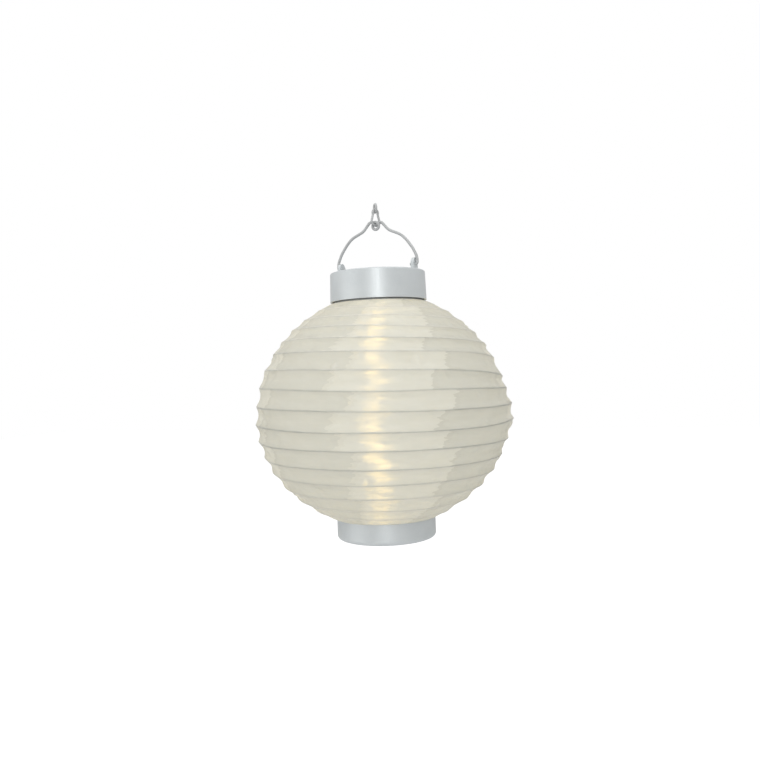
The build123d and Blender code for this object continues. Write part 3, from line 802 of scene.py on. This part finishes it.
def make_rib():
    """The spring wire, a tube closed at both ends."""
    line = rib_line()
    points = []
    for n, middle in enumerate(line):
        ahead = line[min(n + 1, len(line) - 1)] - line[max(n - 1, 0)]
        out = Vector((middle.x, middle.y, 0)).normalized()
        up = ahead.cross(out).normalized()
        out = up.cross(ahead).normalized()
        for side in range(RIB_SIDES):
            angle = CIRCLE * side / RIB_SIDES
            points.append(middle + RIB_RADIUS * (math.cos(angle) * out + math.sin(angle) * up))
    faces = []
    for n in range(len(line) - 1):
        for side in range(RIB_SIDES):
            beside = (side + 1) % RIB_SIDES
            low = n * RIB_SIDES
            high = low + RIB_SIDES
            faces.append((low + side, high + side, high + beside, low + beside))
    faces.append(tuple(range(RIB_SIDES)))
    faces.append(tuple(reversed(range(len(points) - RIB_SIDES, len(points)))))
    rib = make_mesh("spiral_rib", points, faces)
    rib.data.materials.append(FINISHES["rib_steel"])
    return rib


def fit_shade():
    """Put the cloth and its rib in the place of their CAD solids, which are hidden."""
    cloth = make_cloth()
    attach(cloth, "shade")
    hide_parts("fabric_shade")
    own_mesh(cloth)
    rib = make_rib()
    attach(rib, "shade")
    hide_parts("rib_spiral")
    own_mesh(rib)
    return cloth


# ---------------------------------------------------------------- the studio


def around(azimuth, distance, height):
    """A place round the lantern: azimuth 0 is in front, and 90 is to the right."""
    angle = math.radians(azimuth)
    return Vector((distance * math.sin(angle), -distance * math.cos(angle), height))


def make_camera():
    """The camera at the front, turned and rolled a little."""
    data = bpy.data.cameras.new("camera")
    data.lens = CAMERA_LENS
    data.sensor_width = CAMERA_SENSOR
    data.clip_start = CAMERA_NEAR
    camera = bpy.data.objects.new("camera", data)
    bpy.context.scene.collection.objects.link(camera)
    place = around(CAMERA_AZIMUTH, CAMERA_DISTANCE, CAMERA_HEIGHT)
    ahead = Vector((-place.x, -place.y, CAMERA_DISTANCE * math.tan(math.radians(CAMERA_PITCH))))
    level = ahead.to_track_quat("-Z", "Y")
    camera.location = place
    camera.rotation_mode = "QUATERNION"
    turned = Quaternion((0, 0, 1), math.radians(CAMERA_TURN)) @ level
    camera.rotation_quaternion = turned @ Quaternion((0, 0, 1), math.radians(CAMERA_ROLL))
    bpy.context.scene.camera = camera


def softbox(name, place, target, width, height, radiance, shines):
    """An area light of a given brightness that the camera doesn't see, and that may leave no reflection."""
    data = bpy.data.lights.new(name, "AREA")
    data.shape = "RECTANGLE"
    data.size = width
    data.size_y = height
    data.energy = radiance * width * height * math.pi
    light = bpy.data.objects.new(name, data)
    bpy.context.scene.collection.objects.link(light)
    light.location = place
    light.rotation_mode = "QUATERNION"
    light.rotation_quaternion = (target - place).to_track_quat("-Z", "Y")
    light.visible_camera = False
    light.visible_glossy = shines


def glow(name, place, radius, power, body, lit):
    """A small warm lamp that moves with a body and lights only some pieces."""
    lamp = bpy.data.lights.new(name, "POINT")
    lamp.energy = power
    lamp.color = LAMP_COLOUR
    lamp.shadow_soft_size = radius
    light = bpy.data.objects.new(name, lamp)
    bpy.context.scene.collection.objects.link(light)
    light.location = place
    light.visible_camera = False
    light.light_linking.receiver_collection = lit
    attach(light, body)


def make_glows(cloth):
    """The lamp's light, and the warm streak it makes down the cloth."""
    lit = bpy.data.collections.new("lit_by_the_lamp")
    lit.objects.link(cloth)
    led_low, led_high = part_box("led")
    led_tip = (led_low + led_high) / 2
    led_tip.z = led_low.z - LED_GLOW_BELOW
    glow("led_glow", led_tip, LED_GLOW_RADIUS, LED_GLOW_POWER, "solar_unit", lit)
    left = around(CAMERA_AZIMUTH - 90, 1.0, 0.0)
    dice = random.Random(GLOW_SEED)
    for n in range(GLOWS):
        share = n / (GLOWS - 1)
        aside = GLOW_ASIDE * math.sin(math.pi * share) + dice.uniform(-1, 1) * GLOW_WANDER
        height = CLOTH_TOP - GLOW_TOP + share * (CLOTH_BOTTOM - CLOTH_TOP + GLOW_TOP + GLOW_BOTTOM)
        power = GLOW_POWER * dice.uniform(*GLOW_UNEVEN)
        place = Vector((left.x * aside, left.y * aside, height))
        glow("inner_glow_%d" % n, place, GLOW_RADIUS, power, "shade", lit)


def make_lights():
    """The softboxes, all turned to the middle of the globe."""
    middle = Vector((0, 0, EQUATOR))
    for name, (place, size, radiance, shines) in SOFTBOXES.items():
        softbox(name, around(*place), middle, *size, radiance, shines)


def make_surroundings():
    """White behind the lantern, a softer light all round it, and a pale floor well below."""
    world = bpy.data.worlds.new("studio")
    bpy.context.scene.world = world
    world.use_nodes = True
    tree = world.node_tree
    tree.nodes.clear()
    path = tree.nodes.new("ShaderNodeLightPath")
    strength = tree.nodes.new("ShaderNodeMapRange")
    strength.inputs["To Min"].default_value = WORLD_LIGHT
    strength.inputs["To Max"].default_value = 1.0
    tree.links.new(path.outputs["Is Camera Ray"], strength.inputs["Value"])
    light = tree.nodes.new("ShaderNodeBackground")
    light.inputs["Color"].default_value = colour(1.0, 1.0, 1.0)
    tree.links.new(strength.outputs[0], light.inputs["Strength"])
    output = tree.nodes.new("ShaderNodeOutputWorld")
    tree.links.new(light.outputs[0], output.inputs["Surface"])
    half = FLOOR_SIZE / 2
    corners = [(x * half, y * half, FLOOR_HEIGHT) for x, y in ((-1, -1), (1, -1), (1, 1), (-1, 1))]
    floor = make_mesh("floor", corners, [(0, 1, 2, 3)])
    floor.data.materials.append(floor_white())
    bpy.context.scene.view_settings.view_transform = "Standard"


make_camera()
paint_cad_nodes()
pleated_cloth = fit_shade()
make_glows(pleated_cloth)
make_lights()
make_surroundings()

bpy.context.view_layer.update()
